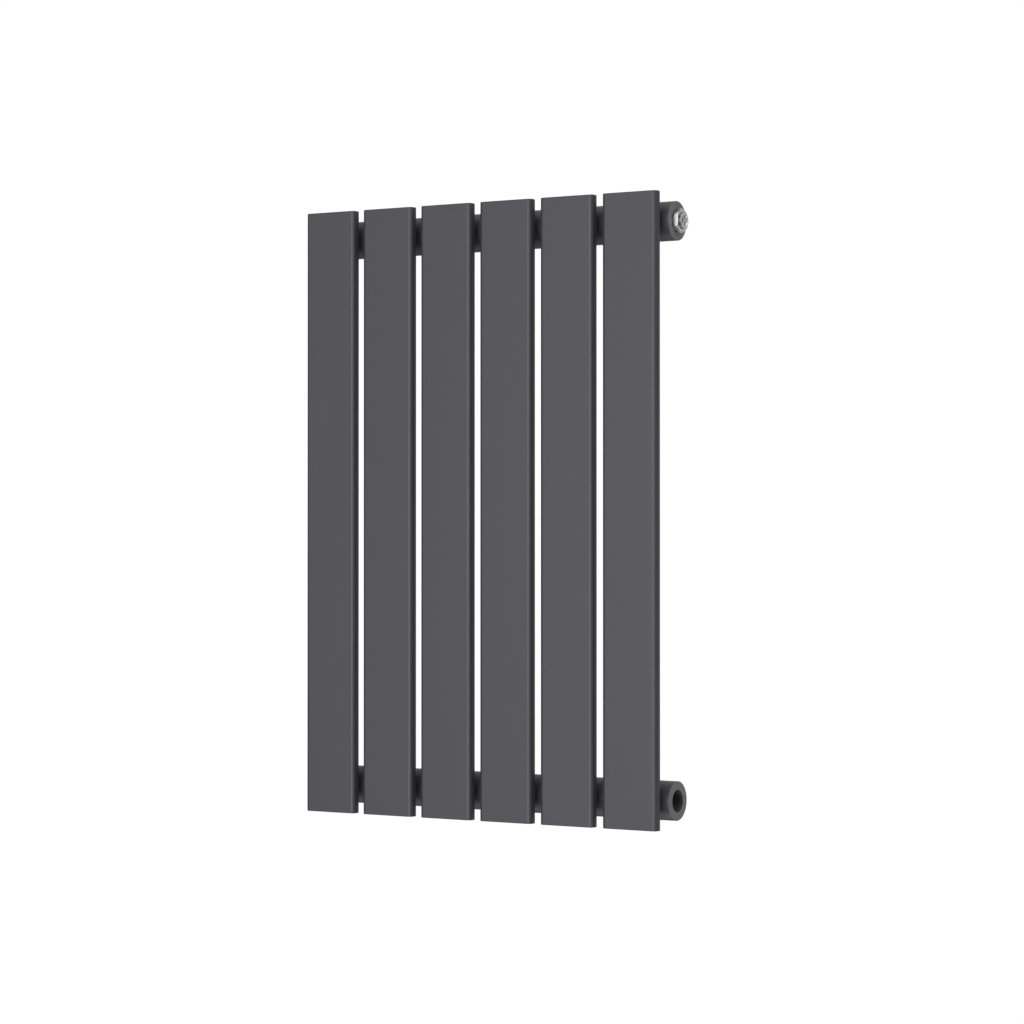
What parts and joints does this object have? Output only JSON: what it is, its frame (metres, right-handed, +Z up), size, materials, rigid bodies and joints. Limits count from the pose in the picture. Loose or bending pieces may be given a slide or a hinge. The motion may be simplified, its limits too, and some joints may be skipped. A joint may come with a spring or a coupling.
{
  "type": "radiator",
  "caption": "Wall-hung flat-panel hot-water radiator: upright hollow slats on round header tubes, with bottom valve sockets, an air vent and a blanking plug.",
  "frame": {"origin": "middle of the four hanging lugs' wall faces, midway between the two ends and at mid-height", "axes": "+Z up along the slats, +Y towards the wall with the slats' fronts facing -Y, +X to the right seen from the room"},
  "size_m": [0.4216, 0.0647, 0.6],
  "materials": {
    "painted_steel": "satin anthracite powder coat on steel",
    "chrome_fittings": "polished chrome plate on brass",
    "bleed_screw": "bright nickel on brass",
    "seals": "matt black rubber"
  },
  "bodies": {
    "root": {"slat_1_tube": "painted_steel", "slat_1_top_cap": "painted_steel", "slat_1_bottom_cap": "painted_steel", "slat_1_top_nipple": "painted_steel", "slat_1_bottom_nipple": "painted_steel", "slat_2_tube": "painted_steel", "slat_2_top_cap": "painted_steel", "slat_2_bottom_cap": "painted_steel", "slat_2_top_nipple": "painted_steel", "slat_2_bottom_nipple": "painted_steel", "slat_3_tube": "painted_steel", "slat_3_top_cap": "painted_steel", "slat_3_bottom_cap": "painted_steel", "slat_3_top_nipple": "painted_steel", "slat_3_bottom_nipple": "painted_steel", "slat_4_tube": "painted_steel", "slat_4_top_cap": "painted_steel", "slat_4_bottom_cap": "painted_steel", "slat_4_top_nipple": "painted_steel", "slat_4_bottom_nipple": "painted_steel", "slat_5_tube": "painted_steel", "slat_5_top_cap": "painted_steel", "slat_5_bottom_cap": "painted_steel", "slat_5_top_nipple": "painted_steel", "slat_5_bottom_nipple": "painted_steel", "slat_6_tube": "painted_steel", "slat_6_top_cap": "painted_steel", "slat_6_bottom_cap": "painted_steel", "slat_6_top_nipple": "painted_steel", "slat_6_bottom_nipple": "painted_steel", "top_header_tube": "painted_steel", "top_left_boss": "painted_steel", "top_left_hanging_lug": "painted_steel", "top_right_boss": "painted_steel", "top_right_hanging_lug": "painted_steel", "bottom_header_tube": "painted_steel", "bottom_left_boss": "painted_steel", "bottom_left_hanging_lug": "painted_steel", "bottom_right_boss": "painted_steel", "bottom_right_hanging_lug": "painted_steel", "vent_body": "chrome_fittings", "vent_body_o_ring": "seals", "blanking_plug": "chrome_fittings", "blanking_plug_o_ring": "seals"},
    "outlet_disc": {"vent_outlet_disc": "chrome_fittings"},
    "bleed_screw_seal": {"bleed_screw_o_ring": "seals"},
    "bleed_screw": {"bleed_screw": "bleed_screw"}
  },
  "joints": [
    {"name": "bleed_screw_travel", "type": "slide", "parent": "root", "child": "bleed_screw_seal", "axis": [1, 0, 0], "range_m": [0, 0.001]},
    {"name": "bleed_screw_turn", "type": "hinge", "parent": "bleed_screw_seal", "child": "bleed_screw", "pos_m": [0.204, -0.0305, 0.2738], "axis": [1, 0, 0], "range_deg": [0, 360]},
    {"name": "outlet_disc_swivel", "type": "hinge", "parent": "root", "child": "outlet_disc", "pos_m": [0.2109, -0.0305, 0.2738], "axis": [1, 0, 0], "continuous": true}
  ],
  "couplings": [
    {"joint": "bleed_screw_turn", "follows": "bleed_screw_travel", "rad_per_m": 6283}
  ]
}
